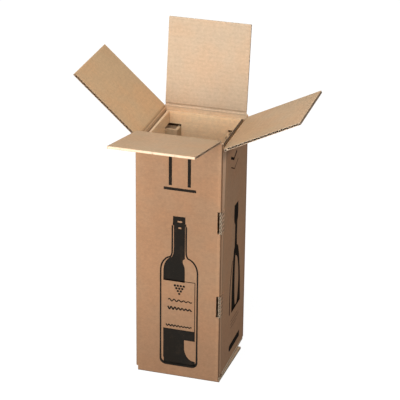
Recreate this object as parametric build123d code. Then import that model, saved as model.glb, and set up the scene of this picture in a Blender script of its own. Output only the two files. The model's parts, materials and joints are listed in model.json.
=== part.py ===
from build123d import *
import math
import os

os.makedirs("parts", exist_ok=True)

# Shipping carton for one bottle, folded from single-wall corrugated board, with an inner sleeve.
# X runs across the front, the front faces -Y, Z is up. The origin is on the floor, mid-way between the walls.

# Board
board = 3.8
liner = 0.4
medium = 0.4
flute_pitch = 7.0

# Carton
width = 140.0
depth = 148.0
corner_fold = 3.0
bottom_fold = 2.6
layer_gap = 0.1
front_layer_gap = 1.5

# Heights of the four top creases: the side flaps close first, then the back one, then the front one
crease_right = 402.2
crease_left = 406.4
crease_back = 410.6
crease_front = 418.0

# Creases: the wall ends in a crushed round ridge, the flap turns around it in a groove
ridge = 0.5
groove = 0.9
neck = 0.45
crush_slope = 30.0
crush_slope_in = 42.0

# Top flaps: reach from the crease, and how far each leans out from upright as the box stands open
reach_front = 142.2
reach_back = 141.5
reach_left = 137.0
reach_right = 133.4
lean_front = 78.0
lean_back = 7.6
lean_left = 47.8
lean_right = 63.4
major_inset = 3.0
minor_gap = 0.8
nick_depth = 0.8
nick_width = 1.6

# Bottom flaps
bottom_reach_front = 119.0
bottom_reach_back = 131.0
bottom_skew = 4.0
bottom_inset = 0.6
corner_notch = 3.5
bottom_side_gap = 1.0

# Locking tongues in the front right edge
tongue_height = 38.0
tongue_slot = 3.0
tongue_proud = 0.7
tongue_root = 16.0
tongue_levels = (136.0, 282.0)

# Inner sleeve
sleeve_gap = 0.3
sleeve_side_gap = 3.0
sleeve_top = 399.6
cut_from_top = 20.0
cut_height = 2.6
cushion_x = 19.9
cushion_y = 19.9
slit_width = 3.6
slit_drop = 5.5
flute_depth = 9.0

half_w = width / 2
half_d = depth / 2
half_b = board / 2
slope_run = (half_b - neck) / math.tan(math.radians(crush_slope))
slope_run_in = (half_b - neck) / math.tan(math.radians(crush_slope_in))


def flute_cell():
    """One open cell between the wave of the medium and the upper liner, as a closed outline."""
    top = half_b - liner
    low = -top + medium
    mid = 0.75 * medium
    return Polygon(
        (top, -0.41 * flute_pitch),
        (mid, -0.25 * flute_pitch),
        (low, -0.10 * flute_pitch),
        (low, 0.10 * flute_pitch),
        (mid, 0.25 * flute_pitch),
        (top, 0.41 * flute_pitch),
        align=None,
    )


def flute_cells(start, end):
    """Cells of both sides of the wave along a board that runs from start to end, thickness along local X."""
    count = int((end - start) / flute_pitch - 0.5)
    first = start + (end - start - (count - 0.5) * flute_pitch) / 2
    cells = []
    for i in range(count):
        cells.append(Pos(0, first + i * flute_pitch) * flute_cell())
        cells.append(Pos(0, first + (i + 0.5) * flute_pitch) * Rot(0, 0, 180) * flute_cell())
    return cells


def flap(reach, low_x, high_x, nicks):
    """A flap that stands straight up from its crease on the X axis, cut square, flutes along the crease."""
    crushed = neck + groove
    start = math.sqrt(groove**2 - neck**2)
    outline = make_face(
        [
            ThreePointArc((neck, start), (0, groove), (-neck, start)),
            Polyline(
                (-neck, start),
                (-neck, groove),
                (-half_b, groove + slope_run),
                (-half_b, reach),
                (half_b, reach),
                (half_b, groove + slope_run_in),
                (neck, groove),
                (neck, start),
            ),
        ]
    )
    section = outline - flute_cells(crushed + slope_run, reach - liner)
    body = extrude(Plane.YZ.offset(low_x) * section, high_x - low_x)
    for share in nicks:
        at = low_x + share * (high_x - low_x)
        body -= Pos(at, 0, reach) * Box(nick_width, 2 * board, 2 * nick_depth)
    return body


def ridge_on(length):
    """The crushed top of a wall under its crease, along X, crease on the X axis."""
    drop = ridge / math.tan(math.radians(crush_slope))
    run = (half_b - ridge) / math.tan(math.radians(crush_slope))
    drop_in = ridge / math.tan(math.radians(crush_slope_in))
    run_in = (half_b - ridge) / math.tan(math.radians(crush_slope_in))
    outline = make_face(
        [
            ThreePointArc((-ridge, 0), (0, ridge), (ridge, 0)),
            Polyline(
                (ridge, 0),
                (ridge, -drop_in),
                (half_b, -drop_in - run_in),
                (half_b, -drop - run),
                (-half_b, -drop - run),
                (-ridge, -drop),
                (-ridge, 0),
            ),
        ]
    )
    return extrude(Plane.YZ.offset(-length / 2) * outline, length), drop + run


def placed(side, level, shape):
    """Turns a shape made for the front wall to another side and lifts its X axis to the crease."""
    turn, out = {
        "front": (0, half_d),
        "right": (90, half_w),
        "back": (180, half_d),
        "left": (-90, half_w),
    }[side]
    return Rot(0, 0, turn) * Pos(0, -out + half_b, level) * shape


# Carton: four walls
in_w = half_w - board
in_d = half_d - board
plan = RectangleRounded(width, depth, corner_fold) - Rectangle(2 * in_w, 2 * in_d)
carton = extrude(plan, crease_front)

creases = {"front": crease_front, "right": crease_right, "back": crease_back, "left": crease_left}
back_layer = board + front_layer_gap
side_layer = back_layer + board + layer_gap
bottoms = {"front": 0.0, "back": back_layer, "left": side_layer, "right": side_layer}
spans = {"front": width, "back": width, "left": 2 * in_d, "right": 2 * in_d}
ridge_cut = ridge_on(10)[1]
for side in creases:
    level = creases[side]
    across = spans[side]
    # the wall stops below its crease and above the flap that it turns into
    carton -= placed(side, level - ridge_cut, Pos(0, 0, 100) * Box(across, board + 0.02, 200))
    if bottoms[side] > 0:
        carton -= placed(side, 0, Box(across, board + 0.02, 2 * bottoms[side]))
    inset = major_inset if side in ("front", "back") else minor_gap
    carton += placed(side, level, ridge_on(across - 2 * inset)[0])

# Carton: closed bottom
meeting = half_w - bottom_side_gap / 2
bottom_reach = {"front": bottom_reach_front, "back": bottom_reach_back, "left": meeting, "right": meeting}
for side in bottoms:
    low = bottoms[side]
    major = side in ("front", "back")
    across = width - 2 * bottom_inset if major else 2 * in_d - 2 * bottom_inset
    reach = bottom_reach[side]
    # the outermost flap was folded a little askew, so its free end stands out past the right wall
    aside = bottom_skew if side == "front" else 0
    low_x = corner_notch - half_w if side == "front" else -across / 2
    sheet = extrude(
        Polygon((low_x, 0), (across / 2, 0), (across / 2 + aside, reach), (low_x + aside, reach), align=None),
        board,
    )
    carton += placed(side, low, Pos(0, -half_b) * sheet)

# The fold between the wall and its bottom flap is rounded across the whole wall
for side in bottoms:
    low = bottoms[side]
    across = width if side in ("front", "back") else 2 * in_d
    block = Pos(0, -half_b + bottom_fold / 2, low + bottom_fold / 2) * Box(across + 1, bottom_fold, bottom_fold)
    round_off = Pos(0, -half_b + bottom_fold, low + bottom_fold) * Rot(0, 90, 0) * Cylinder(bottom_fold, across + 2)
    carton -= placed(side, 0, block - round_off)

# The slots between the bottom flaps notch the walls' lower corners; the skewed front flap hides its right one
for end_x, end_y in ((-1, -1), (-1, 1), (1, 1)):
    notch = Box(2 * corner_notch, 2 * board, 2 * bottoms["left"])
    carton -= Pos(end_x * half_w, end_y * half_d, 0) * notch

# Carton: locking tongues at the front right edge
for level in tongue_levels:
    # the slot through the front wall, from the tongue to the cut line
    slot_width = board + tongue_slot
    slot = Pos(half_w - slot_width / 2, -half_d, level) * Box(slot_width, 2 * board, tongue_height)
    carton -= slot
    tongue_out = half_w + tongue_proud
    tongue = Pos(tongue_out - half_b, -half_d + (board + tongue_root) / 2, level) * Box(
        board, board + tongue_root, tongue_height - 0.4
    )
    carton += tongue

# Flute cells inside the front wall, a little behind the edge of each slot
for level in tongue_levels:
    for cell in flute_cells(-tongue_height / 2, tongue_height / 2):
        cavity = extrude(Plane.YZ * (Pos(0, level) * cell), flute_depth)
        carton -= Pos(half_w - board - tongue_slot - flute_depth, -half_d + half_b, 0) * cavity

# Top flaps
full = half_w - major_inset
inner_d = in_d - minor_gap
flap_front = placed("front", crease_front, Rot(lean_front, 0, 0) * flap(reach_front, -full, full, (0.16, 0.52, 0.77)))
flap_back = placed("back", crease_back, Rot(lean_back, 0, 0) * flap(reach_back, -full, full, (0.3, 0.7)))
flap_left = placed("left", crease_left, Rot(lean_left, 0, 0) * flap(reach_left, -inner_d, inner_d, (0.35, 0.75)))
flap_right = placed("right", crease_right, Rot(lean_right, 0, 0) * flap(reach_right, -inner_d, inner_d, (0.3, 0.6)))

# Inner sleeve
out_x = in_w - sleeve_side_gap
out_y = in_d - sleeve_gap
in_x = out_x - board
in_y = out_y - board
sleeve_low = bottoms["left"] + board
tip_x = in_x - cushion_x
tip_y = in_y - cushion_y
square = Rectangle(2 * out_x, 2 * out_y) - Rectangle(2 * in_x, 2 * in_y)
cross_out = Rectangle(2 * (tip_x + board), 2 * out_y) + Rectangle(2 * out_x, 2 * (tip_y + board))
cross_in = Rectangle(2 * tip_x, 2 * in_y) + Rectangle(2 * in_x, 2 * tip_y)
panels = square - [
    Pos(sx * (out_x + tip_x) / 2, sy * (out_y + tip_y) / 2) * Rectangle(out_x - tip_x, out_y - tip_y)
    for sx in (-1, 1)
    for sy in (-1, 1)
]
cross = cross_out - cross_in
upper_cut = sleeve_top - cut_from_top
lower_cut = sleeve_low + cut_from_top
collar_top = Pos(0, 0, upper_cut) * extrude(square, sleeve_top - upper_cut)
collar_low = Pos(0, 0, sleeve_low) * extrude(square, lower_cut - sleeve_low)
flat_panels = Pos(0, 0, sleeve_low) * extrude(panels, sleeve_top - sleeve_low)
cushions = Pos(0, 0, lower_cut + cut_height) * extrude(cross, upper_cut - lower_cut - 2 * cut_height)
inner_sleeve = collar_top + collar_low + flat_panels + cushions

# Each cut turns down a little way at its ends, beside the fold of the cushion
for end_x in (-1, 1):
    for end_y in (-1, 1):
        for level in (upper_cut - slit_drop / 2, lower_cut + slit_drop / 2):
            beside = (end_x * (tip_x + slit_width / 2 - 0.6), end_y * (in_y + board / 2), level)
            inner_sleeve -= Pos(*beside) * Box(slit_width, 2 * board, slit_drop)
            beside = (end_x * (in_x + board / 2), end_y * (tip_y + slit_width / 2 - 0.6), level)
            inner_sleeve -= Pos(*beside) * Box(2 * board, slit_width, slit_drop)

for name, shape in {
    "carton": carton,
    "inner_sleeve": inner_sleeve,
    "flap_front": flap_front,
    "flap_back": flap_back,
    "flap_left": flap_left,
    "flap_right": flap_right,
}.items():
    export_step(shape, f"parts/{name}.step")
    print(name, "solids", len(shape.solids()), "volume", round(shape.volume), "faces", len(shape.faces()))
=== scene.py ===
import json
import math

import bmesh
import bpy
import numpy as np
from mathutils import Matrix


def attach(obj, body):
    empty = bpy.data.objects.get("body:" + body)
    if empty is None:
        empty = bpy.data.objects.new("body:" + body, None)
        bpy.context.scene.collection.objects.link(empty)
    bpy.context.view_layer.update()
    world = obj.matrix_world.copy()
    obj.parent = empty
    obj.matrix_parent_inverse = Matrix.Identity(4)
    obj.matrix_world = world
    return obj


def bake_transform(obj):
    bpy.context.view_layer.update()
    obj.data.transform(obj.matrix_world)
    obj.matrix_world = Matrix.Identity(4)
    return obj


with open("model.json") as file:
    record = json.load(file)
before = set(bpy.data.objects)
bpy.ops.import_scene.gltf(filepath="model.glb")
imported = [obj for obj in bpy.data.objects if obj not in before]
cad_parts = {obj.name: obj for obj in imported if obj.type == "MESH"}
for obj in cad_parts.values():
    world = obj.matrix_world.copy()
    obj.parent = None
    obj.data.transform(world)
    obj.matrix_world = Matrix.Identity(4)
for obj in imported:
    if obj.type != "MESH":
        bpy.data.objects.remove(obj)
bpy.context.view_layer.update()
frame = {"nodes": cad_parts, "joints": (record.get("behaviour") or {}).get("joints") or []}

# Carton walls and stuck-down bottom
# One blank of single-wall corrugated board, brown kraft liners glued to a waved medium, creased, folded
# round and stuck. Flutes run level round the walls, so they show only faintly on the printed outside.
# Raw edges are paler than the liners. Folds are rubbed lighter with painted highlight, and pressed lines and
# creases get painted shade.

# Sizes and places are in mm, and colours in linear red, green and blue.
MM = 0.001
AXES = ((1, 0, 0), (0, 1, 0), (0, 0, 1))
HALF_WIDTH = 70.0
HALF_DEPTH = 74.0
CORNER_FOLD = 3.5
BOARD = 3.8
LINER = 0.45
FLUTE_PITCH = 7.0
MEDIUM_SWING = 1.30
MEDIUM_EDGE = (0.20, 0.45)
LINER_EDGE = (1.40, 1.65)
WALL_MIDDLE = 2.0
BOTTOM_LAYERS = 9.15
INSIDE_FLOOR = 14.0
WALL_TOPS = 395.0
FACING = 0.6
TONGUE_LEVELS = (136.0, 282.0)
TONGUE_HALF = 19.2
TONGUE_OUT = 70.7
TONGUE_IN = TONGUE_OUT - BOARD
TONGUE_CUT_BACK = -64.8
TONGUE_FLUTES_BACK = -62.0
SLOT_SIDE = 60.0
CUSHION_TIP_X = 39.5
CUSHION_TIP_Y = 46.2
SHADE_BEHIND_CUT = (374.2, 381.0)
STRIP_WIDTH_LOW = 7.0
STRIP_WIDENS = 11.0
OUTER_KRAFT = (0.500, 0.282, 0.158)
OUTER_LOW_SHADE = (0.400, 0.214, 0.118)
STRIP_PALE = (0.800, 0.520, 0.330)
INNER_KRAFT = (0.690, 0.482, 0.302)
INNER_WALL_TINT = (0.97, 0.99, 1.02)
RAW_EDGE = (0.800, 0.620, 0.440)
FLUTE_HOLLOW = (0.120, 0.068, 0.038)
DEEP_SHADE = (0.060, 0.033, 0.017)
SPECK_BROWN = (0.27, 0.15, 0.08)
CLOUD_SHARE = 0.09
MOTTLE_SHARE = 0.36
FIBRE_SHARE = 0.34
FLUTE_SHARE = 0.34
PRESSED_SHADE_SHARE = 0.34
LIGHTENING_SHARE = 0.16
CARTON_FLUTES_SHOW = 0.012


class Wire:
    """A shader socket with arithmetic: an expression on wires and numbers adds its Math nodes to the tree."""

    def __init__(self, tree, socket):
        self.tree = tree
        self.socket = socket

    def node(self, kind, settings=None, values=None, outlet=0):
        """Adds a node of any kind: its settings are set first, then the values or links of its sockets."""
        new = self.tree.nodes.new(kind)
        for key, value in (settings or {}).items():
            setattr(new, key, value)
        for key, value in (values or {}).items():
            if isinstance(value, Wire):
                self.tree.links.new(value.socket, new.inputs[key])
            else:
                new.inputs[key].default_value = value
        return Wire(self.tree, new.outputs[outlet])

    def math(self, operation, first, second=0.0):
        """One Math node on two wires or numbers."""
        return self.node("ShaderNodeMath", {"operation": operation}, {0: first, 1: second})

    def __add__(self, other):
        return self.math("ADD", self, other)

    def __sub__(self, other):
        return self.math("SUBTRACT", self, other)

    def __rsub__(self, other):
        return self.math("SUBTRACT", other, self)

    def __mul__(self, other):
        return self.math("MULTIPLY", self, other)

    def __gt__(self, other):
        return self.math("GREATER_THAN", self, other)

    def __lt__(self, other):
        return self.math("LESS_THAN", self, other)

    __radd__ = __add__
    __rmul__ = __mul__

    def __abs__(self):
        return self.math("ABSOLUTE", self)

    def low(self, other):
        """The lower of the two."""
        return self.math("MINIMUM", self, other)

    def high(self, other):
        """The higher of the two."""
        return self.math("MAXIMUM", self, other)

    def sine(self, length):
        """A sine wave, -1 to 1, with one wave in each length."""
        return self.math("SINE", self * (2 * math.pi / length))

    def step(self, start, end):
        """Rises smoothly from 0 at start to 1 at end."""
        ramp = {"Value": self, "From Min": start, "From Max": end}
        return self.node("ShaderNodeMapRange", {"interpolation_type": "SMOOTHSTEP"}, ramp)

    def noise(self, size, detail=3.0, roughness=0.55):
        """Cloudy noise, about 0.3 to 0.7, with patches of about this size in mm."""
        values = {"Vector": self, "Scale": 1 / size, "Detail": detail, "Roughness": roughness}
        return self.node("ShaderNodeTexNoise", None, values)

    def stretched(self, x, y, z):
        """A vector with each of its axes multiplied by its own number."""
        return self.node("ShaderNodeVectorMath", {"operation": "MULTIPLY"}, {0: self, 1: (x, y, z)})

    def along(self, way):
        """How far a vector reaches along a direction: their dot product."""
        values = {0: self, 1: tuple(way)}
        return self.node("ShaderNodeVectorMath", {"operation": "DOT_PRODUCT"}, values, "Value")

    def mixed(self, other, share, blend="MIX"):
        """A colour mixed with another one, or with a plain colour, by a share."""
        values = {0: share, 6: self, 7: other if isinstance(other, Wire) else (*other, 1.0)}
        return self.node("ShaderNodeMix", {"data_type": "RGBA", "blend_type": blend}, values, 2)


def board_material(name):
    """A new material with its shader, the place on the piece in mm, and the surface's normal."""
    material = bpy.data.materials.new(name)
    material.use_nodes = True
    tree = material.node_tree
    shader = tree.nodes["Principled BSDF"]
    new = Wire(tree, None)
    place = new.node("ShaderNodeTexCoord", outlet="Object")
    place = place.node("ShaderNodeVectorMath", {"operation": "SCALE"}, {0: place, "Scale": 1 / MM})
    facing = new.node("ShaderNodeTexCoord", outlet="Normal")
    return material, shader, place, facing


def paper_colour(place, rgb):
    """A liner's colour: the plain colour drifts a little warmer and cooler in patches a hand wide."""
    drift = place.noise(55.0, 2.0).step(0.35, 0.65)
    warm = np.array(rgb) * (1.03, 0.99, 0.96)
    cool = np.array(rgb) * (0.98, 1.01, 1.03)
    values = {0: drift, 6: (*warm, 1.0), 7: (*cool, 1.0)}
    return place.node("ShaderNodeMix", {"data_type": "RGBA"}, values, 2)


def flute_holes(off_middle, along_cut):
    """Where a cut across the flutes is open, 0 to 1: between the liners and off the waved medium, which is a
    sine of one pitch along the cut. Off_middle is the distance from the board's middle plane."""
    medium = abs(off_middle - along_cut.sine(FLUTE_PITCH) * MEDIUM_SWING)
    return (1.0 - abs(off_middle).step(*LINER_EDGE)) * medium.step(*MEDIUM_EDGE)


def finish_board(shader, place, paper, across_flutes, telegraph, pressed_shade, lightening):
    """Finishes a board: clouds, pulp mottling and fibres darken or lighten the paper by their noises, the
    flutes show through as a sine of one pitch, painted shade darkens pressed lines and creases, and rubbed
    folds and painted highlight lighten it."""
    cloud = place.noise(38.0, 3.0)
    mottle = place.noise(4.5, 3.0, 0.65)
    fibre = place.stretched(0.35, 0.35, 1.6).noise(1.6, 4.0, 0.7)
    wave = across_flutes.sine(FLUTE_PITCH)
    shade = 1.0 + (cloud - 0.5) * CLOUD_SHARE + (mottle - 0.5) * MOTTLE_SHARE
    shade = shade + (fibre - 0.5) * FIBRE_SHARE + wave * (FLUTE_SHARE * telegraph)
    shade = shade * (1.0 - pressed_shade * PRESSED_SHADE_SHARE) * (1.0 + lightening * LIGHTENING_SHARE)
    speck = place.noise(1.3, 2.0).step(0.67, 0.74)
    grey = shade.node("ShaderNodeCombineColor", None, {0: shade, 1: shade, 2: shade})
    colour = paper.mixed(SPECK_BROWN, speck * 0.30).mixed(grey, 1.0, "MULTIPLY")
    height = fibre * 0.05 + mottle * 0.03 + wave * telegraph - pressed_shade * 0.16
    bump = shade.node("ShaderNodeBump", None, {"Strength": 0.7, "Distance": MM, "Height": height})
    rough = 0.80 + (fibre - 0.5) * 0.22 - lightening * 0.06
    links = shader.id_data.links
    links.new(colour.socket, shader.inputs["Base Color"])
    links.new(rough.socket, shader.inputs["Roughness"])
    links.new(bump.socket, shader.inputs["Normal"])
    shader.inputs["Specular IOR Level"].default_value = 0.22


material, shader, place, facing = board_material("kraft_carton")
x, y, z = (place.along(way) for way in AXES)
side_x, side_y, up = (facing.along(way) for way in AXES)
from_side = HALF_WIDTH - abs(x)
from_front = HALF_DEPTH - abs(y)
depth = from_side.low(from_front)
near_floor = z < INSIDE_FLOOR
# inside is what lies past the walls' middle, and the bottom's upper side without its underside
inner = (depth > WALL_MIDDLE).high(near_floor * (up > FACING)) * (1.0 - near_floor * (up < -FACING))
outer = 1.0 - inner
on_side = (abs(side_x) > FACING) * outer
on_front = (side_y < -FACING) * outer
on_right_half = x > 0.0
on_front_half = y < 0.0

# the tongues' ends, the edges of their slots and the bottom flaps' side edges, with the flutes' open ends
tongue = abs(z - TONGUE_LEVELS[0]).low(abs(z - TONGUE_LEVELS[1])) < TONGUE_HALF
tongue_end = tongue * (x > TONGUE_IN - 0.1) * (from_front < 0.3)
slot_edge = tongue * (x > SLOT_SIDE) * (x < TONGUE_IN - 0.2) * (abs(side_x) > FACING)
slot_edge = slot_edge * (from_front > LINER) * (from_front < BOARD - LINER)
bottom_edge = (z < BOTTOM_LAYERS) * (abs(side_x) > FACING)
wall_top = (z > WALL_TOPS) * (up > 0.85)
raw = bottom_edge.high(tongue_end).high(slot_edge).high(wall_top)
open_ends = tongue_end * flute_holes(x - (TONGUE_OUT - BOARD / 2), z)
open_ends = open_ends.high(slot_edge * flute_holes(from_front - BOARD / 2, z))
for layer_middle in (BOARD / 2, 3 * BOARD / 2):
    open_ends = open_ends.high(bottom_edge * flute_holes(z - layer_middle, y) * 0.5)
# the cut above and below a tongue, between its liners
tongue_cut = tongue * (x > TONGUE_IN + 0.3) * (x < TONGUE_OUT - 0.4)
tongue_cut = tongue_cut * (from_front > 0.3) * (y < TONGUE_CUT_BACK)

paper = paper_colour(place, OUTER_KRAFT)
paper = paper.mixed(paper_colour(place, np.array(INNER_KRAFT) * INNER_WALL_TINT), inner)
# painted shade: the outside darkens towards the floor, away from the lamps
paper = paper.mixed(OUTER_LOW_SHADE, (1.0 - z.step(15.0, 190.0)) * outer * 0.6)
# the upright fold at the front right, darkened along a thin line
corner_dark_line = side_x.step(0.22, 0.45) * (1.0 - side_x.step(0.80, 0.96))
corner_dark_line = corner_dark_line * (y < CORNER_FOLD - HALF_DEPTH) * (x > HALF_WIDTH - CORNER_FOLD)
paper = paper.mixed(FLUTE_HOLLOW, corner_dark_line * outer * 0.6)
paper = paper.mixed(RAW_EDGE, raw)
# painted shade in the tongues' cuts and in the flutes' open ends
paper = paper.mixed(DEEP_SHADE, tongue_cut.high(open_ends * 0.95))
# painted shade on the walls behind the sleeve's cuts, in a band just under the upper cut where the sleeve's
# shadow falls
behind_cut = (abs(x) > CUSHION_TIP_X - 1.0) * (abs(y) > CUSHION_TIP_Y - 1.2) * (depth > WALL_MIDDLE)
behind_cut = behind_cut * (z > SHADE_BEHIND_CUT[0]) * (z < SHADE_BEHIND_CUT[1])
paper = paper.mixed(DEEP_SHADE, behind_cut * 0.95)
# the crushed strip beside the front folds, rubbed paler than the wall and with painted highlight where the
# fold turns to the light, wider up high, ending in a faint line
past_strip = from_front - STRIP_WIDTH_LOW - z.step(180.0, 400.0) * STRIP_WIDENS
strip = from_front.step(1.6, 3.4) * (1.0 - past_strip.step(0.0, 4.0)) * on_side * on_front_half
strip = strip * (0.8 + z.step(200.0, 400.0) * 1.1)
front_strip = from_side.step(2.4, 3.6) * (1.0 - from_side.step(5.5, 8.0)) * on_front * on_right_half
strip = strip.high(front_strip * 0.5)
strip_line = past_strip.step(0.0, 1.6) * (1.0 - past_strip.step(2.6, 5.2)) * on_side * on_front_half
paper = paper.mixed(STRIP_PALE, strip * on_side * 0.32)
# the flutes that show through on the tongues' outer side
tongue_flutes = (tongue * (x > TONGUE_OUT - 0.5) * z.sine(FLUTE_PITCH)).high(0.0) * (y < TONGUE_FLUTES_BACK)
paper = paper.mixed(FLUTE_HOLLOW, tongue_flutes * 0.7)
# darker lines on the outside: painted shade in the pressed folds and along the back fold, a darker band along
# the foot, the tongues' flutes, the strip's end line, and painted shadow under the side flap
fold_line = from_front.step(0.3, 1.0) * (1.0 - from_front.step(1.4, 2.6)) * (from_side < 3.0) * outer
foot_line = 1.0 - z.step(0.6, 2.8)
back_fold_shade = y.step(63.0, 66.5) * (1.0 - y.step(68.5, 71.0)) * on_side
flap_shadow = on_side * on_right_half * z.step(377.0, 396.0) * (z < 403.0)
pressed_shade = (fold_line * 0.7).high(foot_line).high(tongue_flutes).high(back_fold_shade * 0.8)
pressed_shade = pressed_shade.high(flap_shadow * 1.3).high(strip_line * 0.7)
finish_board(shader, place, paper, z, CARTON_FLUTES_SHOW, pressed_shade, strip)
carton = frame["nodes"]["carton"]
carton.data.materials.clear()
carton.data.materials.append(material)

# Print on the front wall
# One dark flexo ink on the liner, printed before folding: two upright arrows on a bar, and the outline of
# a bottle with a blank label, drawn with plain waves and a cluster of dots. Ink is a skin 0.08 mm proud.
INK = (0.027, 0.023, 0.019)
INK_PROUD = 0.08
INK_SUNK = 0.4

ink, shader, place, _ = board_material("printing_ink")
worn = place.noise(1.8, 4.0, 0.7).step(0.60, 0.80)
bare = place.noise(14.0, 3.0).step(0.50, 0.75)
ink_colour = paper_colour(place, INK).mixed(OUTER_KRAFT, worn * 0.22 + bare * 0.03)
values = {"Strength": 0.5, "Distance": MM, "Height": place.noise(1.6, 4.0) * 0.05}
bump = worn.node("ShaderNodeBump", None, values)
links = shader.id_data.links
links.new(ink_colour.socket, shader.inputs["Base Color"])
links.new((0.84 + worn * 0.12).socket, shader.inputs["Roughness"])
links.new(bump.socket, shader.inputs["Normal"])
shader.inputs["Specular IOR Level"].default_value = 0.0


def front_wall(across, height, out):
    """Places on the front wall: across to X, height to Z, out along -Y."""
    return np.stack([across, np.full_like(across, -HALF_DEPTH - out), height], -1)


def right_wall(across, height, out):
    """Places on the right wall: across to Y, height to Z, out along X."""
    return np.stack([np.full_like(across, HALF_WIDTH + out), across, height], -1)


def band(height, left, right):
    """Two rails of a filled shape: at each height it reaches from left to right."""
    height = np.asarray(height, float)
    left = np.broadcast_to(left, height.shape)
    right = np.broadcast_to(right, height.shape)
    return np.stack([np.stack([left, height], -1), np.stack([right, height], -1)], 1)


def stroke(path, width):
    """Two rails of a drawn line: the path moved half its width to each side, along its normals."""
    path = np.asarray(path, float)
    way = np.gradient(path, axis=0)
    way /= np.linalg.norm(way, axis=1, keepdims=True)
    side = np.stack([-way[:, 1], way[:, 0]], -1) * (np.broadcast_to(width, len(path))[:, None] / 2)
    return np.stack([path + side, path - side], 1)


def dot(across, height, radius):
    """Two rails of a round dot: at each height it reaches to a circle."""
    turn = np.linspace(0.08, math.pi - 0.08, 11)
    reach = radius * np.sin(turn)
    return band(height - radius * np.cos(turn), across - reach, across + reach)


def ink_skin(rails, wall):
    """A closed skin between two rails: four rings of points, the two rails proud of the wall and the same
    two sunk in it, joined along the rails by quads and closed at both ends."""
    left, right = rails[:, 0], rails[:, 1]
    rings = ((left, INK_PROUD), (right, INK_PROUD), (right, -INK_SUNK), (left, -INK_SUNK))
    places = np.stack([wall(rail[:, 0], rail[:, 1], out) for rail, out in rings], 1).reshape(-1, 3)
    row, ring = np.meshgrid(np.arange(len(rails) - 1) * 4, np.arange(4), indexing="ij")
    after = (ring + 1) % 4
    quads = np.stack([row + ring, row + after, row + 4 + after, row + 4 + ring], -1).reshape(-1, 4)
    end = 4 * (len(rails) - 1)
    return places, np.concatenate([quads, [[3, 2, 1, 0], [end, end + 1, end + 2, end + 3]]])


def closed_piece(name, skins, material):
    """One object of several closed skins, in mm, with every face turned outwards."""
    starts = np.cumsum([0] + [len(places) for places, quads in skins])
    places = np.concatenate([places for places, quads in skins]) * MM
    quads = np.concatenate([quads + start for (_, quads), start in zip(skins, starts)])
    mesh = bpy.data.meshes.new(name)
    mesh.from_pydata(places.tolist(), [], quads.tolist())
    work = bmesh.new()
    work.from_mesh(mesh)
    bmesh.ops.recalc_face_normals(work, faces=work.faces)
    work.to_mesh(mesh)
    work.free()
    mesh.materials.append(material)
    piece = bpy.data.objects.new(name, mesh)
    bpy.context.scene.collection.objects.link(piece)
    return piece


# heights and widths in mm: the bar, then for each arrow its shaft and its pointed head
ARROW_BAR = (328.2, 332.8)
ARROW_SHAFT = (336.4, 385.2)
ARROW_HEAD = (385.0, 402.0)
ARROW_CENTRES = (-13.0, 17.5)
SHAFT_HALF = 2.6
HEAD_HALF = np.array([9.5, 0.2])
arrows = [band(ARROW_BAR, -23.8, 28.6)]
for centre in ARROW_CENTRES:
    arrows.append(band(ARROW_SHAFT, centre - SHAFT_HALF, centre + SHAFT_HALF))
    arrows.append(band(ARROW_HEAD, centre - HEAD_HALF, centre + HEAD_HALF))
piece = closed_piece("print_up_arrows", [ink_skin(rails, front_wall) for rails in arrows], ink)
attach(piece, "root")

BOTTLE_MIDDLE = 2.0
SHOULDER = 188.0
SHOULDER_RISE = 26.0
NECK_TOP = 268.5
BODY_HALF = 31.6
NECK_HALF = 12.6
FILL_HALF = 25.8
FILL_NECK = 8.8
FILL_LEFT = BOTTLE_MIDDLE - FILL_HALF
FILL_RIGHT = 11.5
FOOT = 22.0
FOOT_ROUND = 9.0
LINE = 2.6
LABEL_LOW = 85.9
LABEL_TOP = 173.6
LABEL_RIGHT = 28.9
LABEL_LINE = 1.2
STRIP_FOOT = 68.2
LIGHT_FOOT = 31.0
LIGHT_TOP = 58.0


def bottle_half(height, body, neck, foot):
    """Half the bottle's width: neck plus a quarter ellipse above the shoulder, flared where it meets the
    neck, and a rounded foot below."""
    rise = np.clip((height - SHOULDER) / SHOULDER_RISE, 0, 1)
    flare = 4.2 * np.exp(-np.clip(height - SHOULDER - SHOULDER_RISE + 1.0, 0, None) / 3.2) * (rise > 0.9)
    half = np.maximum(neck + (body - neck) * np.sqrt(1 - rise**2), neck + flare)
    drop = 1 - np.clip((height - FOOT) / foot, 0, 1)
    return half - foot * (1 - np.sqrt(1 - drop**2))


# the outline: down the left side from the neck's top, round the foot and up the right side, thicker low down
foot_heights = FOOT + FOOT_ROUND * np.linspace(0, 1, 12) ** 2
shoulder_heights = SHOULDER + SHOULDER_RISE * np.sin(np.linspace(0, math.pi / 2, 16))
neck_heights = [216, 218.5, 221, 225, 240, NECK_TOP]
height = np.concatenate([foot_heights, [60, 120, 170], shoulder_heights, neck_heights])
half = bottle_half(height, BODY_HALF, NECK_HALF, FOOT_ROUND) - LINE / 2
left_side = np.stack([BOTTLE_MIDDLE - half, height], -1)
right_side = np.stack([BOTTLE_MIDDLE + half, height], -1)
outline = np.concatenate([left_side[::-1], right_side])
width = LINE * (1 + 0.9 * np.clip((34 - outline[:, 1]) / 12, 0, 1))
bottle = [stroke(outline, width)]
# capsule and its ring, with two short gaps as the light on it
bottle.append(band([268.8, 273.0], -8.9, 13.4))
bottle += [band([273.0, 284.6], left, right) for left, right in ((-8.4, -1.0), (6.4, 11.8))]
bottle += [band([low, high], -1.2, 6.6) for low, high in ((273.0, 274.6), (277.2, 284.6))]
bottle += [band([263.8, 268.8], left, right) for left, right in ((-6.8, 0.6), (5.2, 11.4))]
bottle.append(band([266.6, 268.8], 0.4, 5.4))
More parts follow.
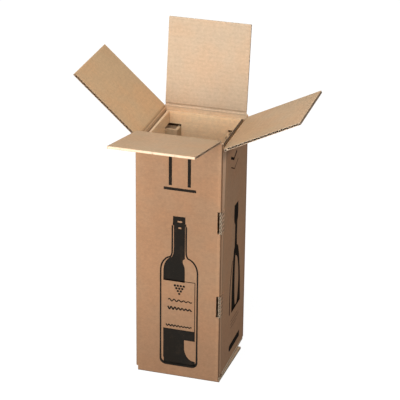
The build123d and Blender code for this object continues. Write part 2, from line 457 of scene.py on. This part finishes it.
# the dark glass of the neck and left shoulder, its right edge drawn in a little where the neck begins
height = SHOULDER + SHOULDER_RISE * np.sin(np.linspace(-0.7, math.pi / 2, 20))
height = np.concatenate([height, [219.0, 230.0, 263.8]])
left = BOTTLE_MIDDLE - bottle_half(height, FILL_HALF, FILL_NECK, 1.0)
drawn_in = FILL_RIGHT - 3.6 * np.exp(-(((height - 207.0) / 7.0) ** 2))
bottle.append(band(height, left, np.where(height < 212, drawn_in, 11.4)))
bottle.append(band([LABEL_TOP, height[0]], FILL_LEFT, FILL_RIGHT))
# the label's top and right lines, and the dark strip under it
bottle.append(band([LABEL_TOP - LABEL_LINE, LABEL_TOP], 11.0, LABEL_RIGHT))
bottle.append(band([STRIP_FOOT, LABEL_TOP - 1.0], LABEL_RIGHT - LABEL_LINE, LABEL_RIGHT))
bottle.append(band([STRIP_FOOT, LABEL_LOW], FILL_LEFT, LABEL_RIGHT - 1.0))
# the foot with a curved light at its right, and the rounded end under it
height = np.concatenate([np.linspace(LIGHT_FOOT, LIGHT_TOP, 18), [STRIP_FOOT]])
fall = np.clip((LIGHT_TOP - height) / (LIGHT_TOP - LIGHT_FOOT), 0, 1)
left = FILL_LEFT + 0.9 * np.clip((34 - height) / 3, 0, 1)
bottle.append(band(height, left, 11.2 + 18.3 * (1 - np.sqrt(1 - fall**2.4))))
height = FOOT + 1.2 + np.linspace(0, 1, 9) ** 1.5 * (LIGHT_FOOT - FOOT - 1.2)
drop = 1 - (height - FOOT) / FOOT_ROUND
reach = BODY_HALF - 1.0 - 8.0 * (1 - np.sqrt(1 - np.clip(drop, 0, 1) ** 2))
left = BOTTLE_MIDDLE - np.minimum(reach, FILL_HALF - 0.9)
bottle.append(band(height, left, BOTTLE_MIDDLE + np.minimum(reach, 27.6)))
piece = closed_piece("print_bottle", [ink_skin(rails, front_wall) for rails in bottle], ink)
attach(piece, "root")

# a cluster of dots in four rows, and three waves that fade to the right: level, left and right end, swing,
# wave length and line width
DOT_ROWS = ((4, 164.2), (3, 159.5), (2, 154.8), (1, 150.1))
DOT_PITCH = 4.9
DOT_RADIUS = 2.0
WAVES = (
    (137.6, -15.5, 23.5, 2.0, 7.8, 1.9),
    (123.4, -16.5, 23.5, 2.4, 6.0, 2.4),
    (92.0, -19.5, 23.5, 1.5, 5.2, 2.0),
)
label = []
for count, level in DOT_ROWS:
    label += [dot(2.6 + DOT_PITCH * (k - (count - 1) / 2), level, DOT_RADIUS) for k in range(count)]
for level, start, end, swing, length, thick in WAVES:
    across = np.linspace(start, end, 90)
    fade = 0.45 + 0.55 * np.cos((across - start) / (end - start) * math.pi / 2) ** 2
    wave = level + swing * fade * np.sin(across * 2 * math.pi / length)
    label.append(stroke(np.stack([across, wave], -1), thick))
piece = closed_piece("print_label_marks", [ink_skin(rails, front_wall) for rails in label], ink)
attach(piece, "root")

# Print on the right wall
# The same ink: a second, slimmer bottle seen against the light, ruled lines, a bar with a rounded end
# near the floor, and two chevron strokes under the side flap.
SIDE_FOOT = 94.0
SIDE_SHOULDER = 205.0
SIDE_CAP_MIDDLE = 11.6
SIDE_STROKE_RISE = 92.0
side = []
# its cap and its neck
height = np.array([246.0, 252.0, 262.0, 272.0, 280.0])
half = np.array([6.8, 11.0, 11.9, 11.7, 11.0])
side.append(band(height, SIDE_CAP_MIDDLE - half, SIDE_CAP_MIDDLE + half))
side.append(band([SIDE_SHOULDER, 222.0, 246.2], [5.4, 6.4, 6.2], [18.6, 17.8, 18.8]))
# its body: two dark bands from the foot to the shoulder, with the light between two half ellipses
height = np.linspace(SIDE_FOOT, SIDE_SHOULDER, 34)
rise = (height - SIDE_FOOT) / (SIDE_SHOULDER - SIDE_FOOT)
outside = 12.4 + 31.6 * np.sqrt(1 - np.clip(rise, 0, 1) ** 2.6) * (1 - 0.12 * rise) + 5.2 * rise**6
light_right = 12.0 + 20.0 * np.sqrt(np.clip(1 - ((height - 138.0) / 50.0) ** 2, 0, 1))
light_left = 16.0 - 7.0 * np.sqrt(np.clip(1 - ((height - 150.0) / 56.0) ** 2, 0, 1))
lit = (light_right > light_left + 0.4) & (height > 96.5)
dark_left = 5.4 - 12.4 * np.sqrt(np.clip(1 - rise**2.0, 0, 1))
meeting = (dark_left + outside) / 2
side.append(band(height, dark_left, np.where(lit, light_left, meeting)))
side.append(band(height, np.where(lit, light_right, meeting), outside))
side.append(band([93.0, 97.6], [-6.6, -6.9], [44.2, 44.0]))
# the thin line at its front, which leans in as it rises
height = np.linspace(SIDE_FOOT, SIDE_FOOT + SIDE_STROKE_RISE, 22)
rise = (height - SIDE_FOOT) / SIDE_STROKE_RISE
side.append(stroke(np.stack([-18.6 + 14.0 * rise**3.2, height], -1), 4.2 - 1.8 * rise))
piece = closed_piece("print_side_bottle", [ink_skin(rails, right_wall) for rails in side], ink)
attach(piece, "root")

# ruled lines by level and right end, the bar with a round left end, and two chevron strokes
RULED = ((78.0, 32.0), (72.0, 38.0), (66.0, 26.0))
RULED_WIDTH = 0.8
BAR_LEVEL = 31.0
BAR_HALF = 5.6
marks = [band([level, level + RULED_WIDTH], -10.0, reach) for level, reach in RULED]
turn = np.linspace(-math.pi / 2, math.pi / 2, 9)
marks.append(band(BAR_LEVEL + BAR_HALF * np.sin(turn), -13.0 - BAR_HALF * np.cos(turn), 44.0))
marks.append(stroke([(-26.0, 373.0), (-8.5, 364.5), (8.0, 372.5)], 4.4))
marks.append(stroke([(-24.0, 356.0), (-4.0, 346.5), (16.0, 356.0)], 1.6))
piece = closed_piece("print_side_marks", [ink_skin(rails, right_wall) for rails in marks], ink)
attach(piece, "root")

# Inner sleeve
# A second blank of plain brown board, folded into a sleeve that lines the walls. Level cuts near its top
# and bottom let the four corners be pushed in as cushions. Its flutes run level, and its top edge is raw.
SLEEVE_KRAFT = (0.820, 0.590, 0.365)
SLEEVE_EDGE = (0.50, 0.36, 0.23)
SLEEVE_TOP = 396.0
SLEEVE_HALF_X = 59.4
SLEEVE_HALF_Y = 66.1
SLEEVE_FLUTES_SHOW = 0.038
CUSHION_LEVELS = (30.0, 379.8)
CUSHION_SHADE = 0.62

material, shader, place, facing = board_material("kraft_sleeve")
x, y, z = (place.along(way) for way in AXES)
raw = abs(facing.along((0, 0, 1))).step(0.6, 0.8)
paper = paper_colour(place, SLEEVE_KRAFT).mixed(SLEEVE_EDGE, raw * 0.6)
# painted shade on the right panel's top edge, for the shadowed slit beside it
paper = paper.mixed(DEEP_SHADE, raw * (x > SLEEVE_HALF_X + 0.5) * (z > SLEEVE_TOP) * 0.97)
# painted shade: the pushed-in corners below the upper cut lie in each other's shade
cushion = (abs(x) > CUSHION_TIP_X - 0.6) * (abs(y) > CUSHION_TIP_Y - 0.6)
cushion = cushion * (z > CUSHION_LEVELS[0]) * (z < CUSHION_LEVELS[1])
paper = paper.mixed(paper_colour(place, np.array(SLEEVE_KRAFT) * CUSHION_SHADE), cushion)
# painted shade along the sleeve's corner folds
corner_fold = (SLEEVE_HALF_X - abs(x)).high(SLEEVE_HALF_Y - abs(y))
pressed_shade = 1.0 - abs(corner_fold).step(0.3, 1.6)
lightening = (z > SLEEVE_TOP) * 0.6
finish_board(shader, place, paper, z, SLEEVE_FLUTES_SHOW, pressed_shade * (1.0 - raw) * 0.7, lightening)
sleeve = frame["nodes"]["inner_sleeve"]
sleeve.data.materials.clear()
sleeve.data.materials.append(material)

# Top flaps
# Four flaps of the carton's blank, each turning on its crushed crease, flutes along the crease, so the
# open flute ends show at both sides. The inside liner is paler than the printed outside one.
FLAP_LEAN = {"front": 78.0, "back": 7.6, "left": 47.8, "right": 63.4}
FLAP_HALF = {"front": 67.0, "back": 67.0, "left": 69.4, "right": 69.4}
FLAP_REACH = {"front": 142.2, "back": 141.5, "left": 137.0, "right": 133.4}
# painted light and shade: each flap's inside liner is made lighter or darker, warmer or cooler, as the light
# falls on it, though all four are one board
FLAP_PAINTED_LIGHT = {
    "front": (0.705, 0.672, 0.645),
    "back": (0.790, 0.830, 0.900),
    "left": (0.800, 0.740, 0.650),
    "right": (0.710, 0.680, 0.640),
}
# cut edges: raw paler paper, but painted shade on the left flap's
FLAP_EDGE = {
    "front": RAW_EDGE,
    "back": RAW_EDGE,
    "left": (0.36, 0.26, 0.17),
    "right": RAW_EDGE,
}
# painted shade in each flap's open flutes, paler on the front flap where light reaches in
FLAP_HOLLOW_SHADE = {
    "front": (0.66, 0.50, 0.35),
    "back": (0.50, 0.38, 0.26),
    "left": (0.20, 0.125, 0.075),
    "right": DEEP_SHADE,
}
FLAP_FLUTES_SHOW = 0.040
FLAP_LINE = 4.2
POCKETS_FROM_CREASE = 7.0
POCKETS_FROM_END = 6.0

joints = {joint["name"]: joint for joint in frame["joints"]}
ways = {}
reach_ways = {}
for side, lean in FLAP_LEAN.items():
    joint = joints[side + "_crease"]
    hinge = np.array(joint["pos_m"], float) / MM
    along_hinge = np.array(joint["axis"], float)
    outward = hinge * (1, 1, 0) / np.linalg.norm(hinge[:2])
    tilt = math.radians(lean)
    reach_way = outward * math.sin(tilt) + np.array([0, 0, math.cos(tilt)])
    outer_way = outward * math.cos(tilt) - np.array([0, 0, math.sin(tilt)])
    ways[side] = hinge, along_hinge, outward
    reach_ways[side] = reach_way
    material, shader, place, facing = board_material("kraft_flap_" + side)
    # reach is how far a point lies from the crease along the flap, off_middle how far outside its middle
    reach = place.along(reach_way) - float(hinge @ reach_way)
    off_middle = place.along(outer_way) - float(hinge @ outer_way)
    end_cut = abs(facing.along(along_hinge)).step(0.6, 0.8)
    far_cut = facing.along(reach_way).step(0.6, 0.8) * (reach > FLAP_REACH[side] - 3.0)
    core = (off_middle > LINER - BOARD / 2) * (off_middle < BOARD / 2 - LINER)
    paper = paper_colour(place, np.array(INNER_KRAFT) * FLAP_PAINTED_LIGHT[side])
    paper = paper.mixed(paper_colour(place, OUTER_KRAFT), off_middle > 0.0)
    # painted shade on the walls of the open flutes, and on the cut ends past the last flutes painted flute
    # holes in shade
    deep = abs(place.along(along_hinge)) < FLAP_HALF[side] - 0.9
    paper = paper.mixed(FLAP_HOLLOW_SHADE[side], core * (reach > 4.0) * deep)
    paper = paper.mixed(FLAP_EDGE[side], end_cut.high(far_cut * 0.2))
    past_pockets = (reach < POCKETS_FROM_CREASE).high(reach > FLAP_REACH[side] - POCKETS_FROM_END)
    paper = paper.mixed(FLAP_HOLLOW_SHADE[side], end_cut * past_pockets * flute_holes(off_middle, reach))
    # painted shade along the pressed line beside the crease
    pressed_shade = (1.0 - abs(reach - FLAP_LINE).step(0.2, 1.0)) * 0.35
    lightening = reach.step(FLAP_REACH[side] - 3.0, FLAP_REACH[side]) * 0.7
    finish_board(shader, place, paper, reach, FLAP_FLUTES_SHOW, pressed_shade * (1.0 - core), lightening)
    flap = frame["nodes"]["flap_" + side]
    flap.data.materials.clear()
    flap.data.materials.append(material)

# Creases of the top flaps
# The liners run on from wall to flap in one piece: paper pressed into a shallow groove on both sides of each
# crushed crease. It bends across the crease from the wall's slope to the flap's slope.
CREASE_SPAN = {"front": 66.9, "back": 66.9, "left": 69.3, "right": 69.3}
RUN = np.array([-4.6, -3.7, -2.6, -1.5, -0.9, -0.4, 0.0, 0.4, 0.9, 1.5, 2.6, 3.7, 4.6])
INSIDE_BOW = np.array([1.93, 1.95, 1.90, 1.45, 1.15, 0.98, 0.92, 0.98, 1.15, 1.45, 1.90, 1.95, 1.93])
OUTSIDE_BOW = np.array([1.93, 1.93, 1.55, 1.10, 0.92, 0.86, 0.84, 0.86, 0.92, 1.10, 1.55, 1.93, 1.93])
PAPER = 0.42
PAPER_PROUD = 0.05
BEND_HALF = 1.2
BLEND_HALF = 1.1
BACK_CREASE_SHADE = 0.15
OUTSIDE_CREASE_SHADE = 0.6


def crease_paper(side, inside):
    """Liner over a crease: along the hinge, and across it by run and bow. Below the hinge the bow stands off
    the wall's middle plane, above it off the flap's, and between them the two directions turn smoothly. The
    bottom of the groove wavers along the hinge by two sines."""
    hinge, along_hinge, outward = ways[side]
    share = np.clip((RUN + BEND_HALF) / (2 * BEND_HALF), 0, 1)
    share = share**2 * (3 - 2 * share)
    angle = math.radians(FLAP_LEAN[side]) * share
    run_way = np.outer(np.sin(angle), outward) + np.outer(np.cos(angle), (0, 0, 1))
    off_way = np.outer(np.cos(angle), outward) - np.outer(np.sin(angle), (0, 0, 1))
    off_way *= -1 if inside else 1
    bow = INSIDE_BOW if inside else OUTSIDE_BOW
    middle = hinge + run_way * RUN[:, None]
    shown = middle + off_way * (bow + PAPER_PROUD)[:, None]
    sunk = middle + off_way * (bow - PAPER)[:, None]
    ring = np.concatenate([shown, sunk[::-1]])
    off = np.concatenate([off_way, off_way[::-1]])
    pull = np.exp(-((RUN / BEND_HALF) ** 2))
    pull = np.concatenate([pull, np.zeros_like(pull)])
    steps = np.linspace(-1, 1, 25)
    waver = 0.10 * np.sin(steps * 23.0 + len(side)) + 0.08 * np.sin(steps * 57.0)
    along = along_hinge * (steps * CREASE_SPAN[side])[:, None, None]
    grid = ring[None] + along - off[None] * (waver[:, None] * pull)[..., None]
    count = len(ring)
    row, col = np.meshgrid(np.arange(len(steps) - 1) * count, np.arange(count), indexing="ij")
    after = (col + 1) % count
    quads = np.stack([row + col, row + after, row + count + after, row + count + col], -1).reshape(-1, 4)
    k = np.arange(len(RUN) - 1)
    cap = np.stack([k, k + 1, count - 2 - k, count - 1 - k], -1)
    return grid.reshape(-1, 3), np.concatenate([quads, cap, cap + (len(steps) - 1) * count])


for side in FLAP_LEAN:
    hinge = ways[side][0]
    # the way across the crease, midway between the wall's upright and the flap's reach
    across = reach_ways[side] + np.array([0, 0, 1.0])
    across /= np.linalg.norm(across)
    for inside in (True, False):
        name = ("crease_inside_" if inside else "crease_outside_") + side
        material, shader, place, _ = board_material("kraft_" + name)
        rgb = np.array(INNER_KRAFT) * FLAP_PAINTED_LIGHT[side] if inside else np.array(OUTER_KRAFT)
        paper = paper_colour(place, rgb)
        bend = place.along(across) - float(hinge @ across)
        if inside and side == "right":
            # its lower half lies in the slit's shade
            paper = paper.mixed(DEEP_SHADE, (bend < -0.5) * 0.85)
        # painted shade in the crease's groove, fainter outside and faintest on the back flap
        depth_share = 1.0 if inside else OUTSIDE_CREASE_SHADE
        if side == "back":
            depth_share = BACK_CREASE_SHADE
        pressed_shade = (1.0 - abs(bend).step(0.1, 1.5)) * depth_share
        finish_board(shader, place, paper, bend, 0.0, pressed_shade, 0.0)
        piece = closed_piece(name, [crease_paper(side, inside)], material)
        start = tuple((hinge - across * BLEND_HALF) * MM)
        end = tuple((hinge + across * BLEND_HALF) * MM)
        side + "_flap"
        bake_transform(piece)

# Floor, light and camera
# A pale studio floor that runs on into white, a soft lamp low in front and one high in front, weak ones at
# the side and behind, white light all round, and the photograph's long lens from the right, a little above.
FLOOR_CORNERS = [(-12, -8, 0), (12, -8, 0), (12, 16, 0), (-12, 16, 0)]
FLOOR_PALE = 0.12
FLOOR_GLOW = 0.95
AROUND = 0.29
WHITE = (1, 1, 1, 1)
# watt, size, place and aim of each lamp
LAMPS = {
    "front_lamp": (9.6, 0.5, (-0.32, -1.00, 0.57), (0.0, 0.0, 0.86)),
    "high_lamp": (12.2, 0.7, (0.0, -0.60, 1.60), (0.0, 0.0, 0.42)),
    "side_lamp": (5.2, 0.7, (1.60, -0.30, 1.00), (0.0, 0.0, 0.90)),
    "back_lamp": (8.0, 0.9, (-1.00, 1.80, 0.90), (0.0, 0.0, 0.25)),
}
# the camera's right, up and back directions and its place, as fitted to the box's corners
CAMERA_LENS = 164.558
CAMERA_RIGHT = (0.95807, 0.28632, 0.01084)
CAMERA_UP = (-0.12856, 0.39577, 0.90931)
CAMERA_BACK = (0.25606, -0.87258, 0.41598)
CAMERA_PLACE = (0.75425, -2.52541, 1.48647)

mesh = bpy.data.meshes.new("studio_floor")
mesh.from_pydata(FLOOR_CORNERS, [], [(0, 1, 2, 3)])
floor = bpy.data.objects.new("studio_floor", mesh)
bpy.context.scene.collection.objects.link(floor)
material = bpy.data.materials.new("studio_white")
material.use_nodes = True
tree = material.node_tree
shader = tree.nodes["Principled BSDF"]
shader.inputs["Base Color"].default_value = (FLOOR_PALE, FLOOR_PALE, FLOOR_PALE, 1)
shader.inputs["Roughness"].default_value = 1.0
shader.inputs["Specular IOR Level"].default_value = 0.0
ray = tree.nodes.new("ShaderNodeLightPath")
seen = Wire(tree, ray.outputs["Is Camera Ray"]).high(Wire(tree, ray.outputs["Is Glossy Ray"]))
glow = seen.node("ShaderNodeEmission", None, {"Strength": seen * FLOOR_GLOW})
both = glow.node("ShaderNodeAddShader", None, {0: glow, 1: Wire(tree, shader.outputs[0])})
tree.links.new(both.socket, tree.nodes["Material Output"].inputs["Surface"])
mesh.materials.append(material)

world = bpy.data.worlds.new("studio")
world.use_nodes = True
tree = world.node_tree
ray = tree.nodes.new("ShaderNodeLightPath")
seen = Wire(tree, ray.outputs["Is Camera Ray"]).high(Wire(tree, ray.outputs["Is Transmission Ray"]))
tree.nodes["Background"].inputs["Color"].default_value = WHITE
tree.links.new((AROUND + seen * (1.0 - AROUND)).socket, tree.nodes["Background"].inputs["Strength"])
bpy.context.scene.world = world


def turned(right, up, back, place):
    """A placing matrix from three directions and a place."""
    turn = np.stack([right, up, back], 1)
    return Matrix([[*turn[i], place[i]] for i in range(3)] + [[0, 0, 0, 1]])


for name, (watt, size, place, aim) in LAMPS.items():
    lamp = bpy.data.lights.new(name, "AREA")
    lamp.energy = watt
    lamp.size = size
    holder = bpy.data.objects.new(name, lamp)
    bpy.context.scene.collection.objects.link(holder)
    back = np.array(place) - aim
    back /= np.linalg.norm(back)
    right = np.cross([0, 0, 1.0], back)
    right /= np.linalg.norm(right)
    holder.matrix_world = turned(right, np.cross(back, right), back, place)
    holder.visible_camera = False

camera = bpy.data.cameras.new("camera")
camera.sensor_fit = "HORIZONTAL"
camera.sensor_width = 36.0
camera.lens = CAMERA_LENS
camera.clip_end = 60.0
holder = bpy.data.objects.new("camera", camera)
bpy.context.scene.collection.objects.link(holder)
holder.matrix_world = turned(CAMERA_RIGHT, CAMERA_UP, CAMERA_BACK, CAMERA_PLACE)
bpy.context.scene.camera = holder
bpy.context.scene.view_settings.view_transform = "Standard"
